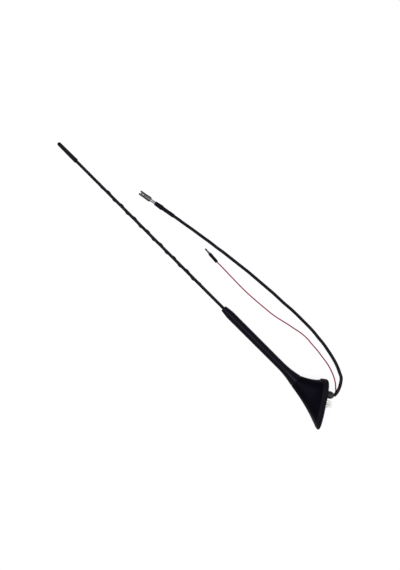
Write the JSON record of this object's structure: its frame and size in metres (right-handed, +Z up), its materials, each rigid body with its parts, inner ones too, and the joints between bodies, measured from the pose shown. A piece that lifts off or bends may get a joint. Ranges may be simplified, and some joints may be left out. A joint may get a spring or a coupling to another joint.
{
  "type": "car mast aerial",
  "caption": "Flexible roof aerial: spiral-ribbed whip in a swelling grip boot, leaning fin base on an oval gasket, hollow roof stud and trailing leads.",
  "frame": {"origin": "on the bench the aerial lies on, under the middle of the box round the aerial without its leads", "axes": "+X runs from the whip's tip towards the base, +Z up from the bench, +Y towards the side the fin leans to; the aerial lies on its side as it comes to rest, the rim of the base and the tip touching the bench"},
  "size_m": [0.5962, 0.1063, 0.0501],
  "materials": {
    "black_plastic": "moulded black plastic",
    "black_rubber": "soft black rubber",
    "black_jacket": "black cable jacket and shrink sleeve",
    "red_jacket": "dusty red wire insulation",
    "olive_steel": "olive passivated steel",
    "nickel": "bright nickel plate",
    "zinc_steel": "zinc plated steel",
    "brass": "plain brass",
    "nylon": "natural translucent nylon",
    "dielectric": "white insulating plastic",
    "glass_fibre": "pultruded glass fibre",
    "circuit_board": "green coated circuit board",
    "die_cast": "die-cast zinc alloy"
  },
  "bodies": {
    "base": {"base_cover": "black_plastic", "mast_socket": "brass", "contact_strip": "brass", "amplifier_board": "circuit_board", "screening_can": "zinc_steel", "board_screws": "zinc_steel", "base_plate": "die_cast", "cover_screws": "zinc_steel", "roof_gasket": "black_rubber", "roof_stud": "olive_steel", "locating_clip": "nylon", "cable_grommet": "black_rubber", "coax_cable": "black_jacket", "feed_wire": "red_jacket", "plug_shell": "nickel", "plug_insulator": "dielectric", "plug_pin": "brass", "crimp_ferrule": "nickel", "wide_shrink": "black_jacket", "slim_shrink": "black_jacket", "pin_sleeve": "black_jacket", "bullet_pin": "olive_steel"},
    "mast_seal": {"seal_washer": "black_rubber"},
    "mast": {"tip_cap": "black_plastic", "whip_sleeve": "black_plastic", "whip_core": "glass_fibre", "aerial_wire": "brass", "grip_boot": "black_rubber", "mast_ferrule": "zinc_steel"}
  },
  "joints": [
    {"name": "mast_lift", "type": "slide", "parent": "base", "child": "mast_seal", "axis": [-0.9993, 0, -0.0384], "range_m": [0, 0.0075]},
    {"name": "mast_turn", "type": "hinge", "parent": "mast_seal", "child": "mast", "pos_m": [0.27944, -0.00289, 0.02518], "axis": [-0.9993, 0, -0.0384], "range_deg": [0, 2700]}
  ],
  "couplings": [
    {"joint": "mast_turn", "follows": "mast_lift", "rad_per_m": 6283.2}
  ]
}
